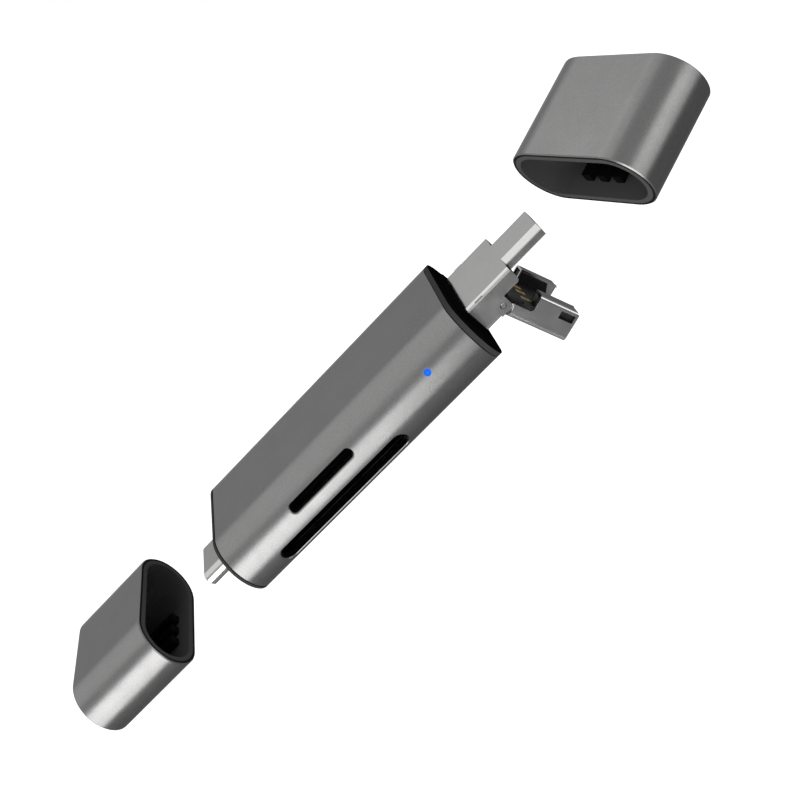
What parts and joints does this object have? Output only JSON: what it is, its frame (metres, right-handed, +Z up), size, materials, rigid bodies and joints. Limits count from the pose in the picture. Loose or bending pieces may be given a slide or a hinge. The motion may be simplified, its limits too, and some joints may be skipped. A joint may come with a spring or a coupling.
{
  "type": "usb memory card reader",
  "caption": "Pill-section aluminium card reader with card slots in its side, a USB-C plug, a micro-B plug behind a hinged USB-A front shell, and pull-off end caps.",
  "frame": {"origin": "Middle of the tube's flat underside, halfway along the tube and halfway across it.", "axes": "+X runs along the tube towards the hinged USB-A plug, +Z is up from the flat underside, and the card slots open towards -Y."},
  "size_m": [0.1206, 0.0265, 0.0218],
  "materials": {
    "grey_aluminium": "bead-blasted and anodised grey, with a soft sheen",
    "black_plastic": "moulded black plastic with a fine grain",
    "plated_steel": "nickel-plated sheet steel, lightly brushed",
    "gold_contact": "thin gold plate",
    "board_green": "green solder mask",
    "chip_black": "moulded chip package",
    "capacitor_tan": "tan ceramic body",
    "blue_light": "lit blue lens",
    "clear_plastic": "clear moulded rod"
  },
  "bodies": {
    "reader": {"housing_sleeve": "grey_aluminium", "flip_end_frame": "black_plastic", "type_c_end_frame": "black_plastic", "circuit_board": "board_green", "sd_socket_shell": "plated_steel", "sd_socket_base": "black_plastic", "sd_socket_contacts": "gold_contact", "microsd_socket_shell": "plated_steel", "microsd_socket_base": "black_plastic", "microsd_socket_contacts": "gold_contact", "controller_chip": "chip_black", "hub_chip": "chip_black", "crystal": "plated_steel", "capacitors": "capacitor_tan", "status_led": "blue_light", "led_light_pipe": "clear_plastic", "type_c_shell": "plated_steel", "type_c_insulator": "black_plastic", "type_c_contacts": "gold_contact", "base_shell": "plated_steel", "base_core": "black_plastic", "micro_b_shell": "plated_steel", "micro_b_insulator": "black_plastic", "micro_b_contacts": "gold_contact", "hinge_pin": "plated_steel"},
    "flip_front": {"flip_shell": "plated_steel", "flip_tongue": "black_plastic", "flip_contacts": "gold_contact"},
    "type_c_cap": {"cap_c_shell": "grey_aluminium", "cap_c_insert": "black_plastic"},
    "usb_a_cap": {"cap_a_shell": "grey_aluminium", "cap_a_insert": "black_plastic"}
  },
  "joints": [
    {"name": "flip_hinge", "type": "hinge", "parent": "reader", "child": "flip_front", "pos_m": [0.02815, 0, 0.00403], "axis": [0, 1, 0], "range_deg": [-74, 0]},
    {"name": "type_c_cap_slide", "type": "slide", "parent": "reader", "child": "type_c_cap", "axis": [1, 0, 0], "range_m": [0, 0.01645]},
    {"name": "usb_a_cap_lift", "type": "slide", "parent": "reader", "child": "usb_a_cap", "axis": [0.895, 0.4365, 0.0924], "range_m": [0, 0.012]}
  ]
}
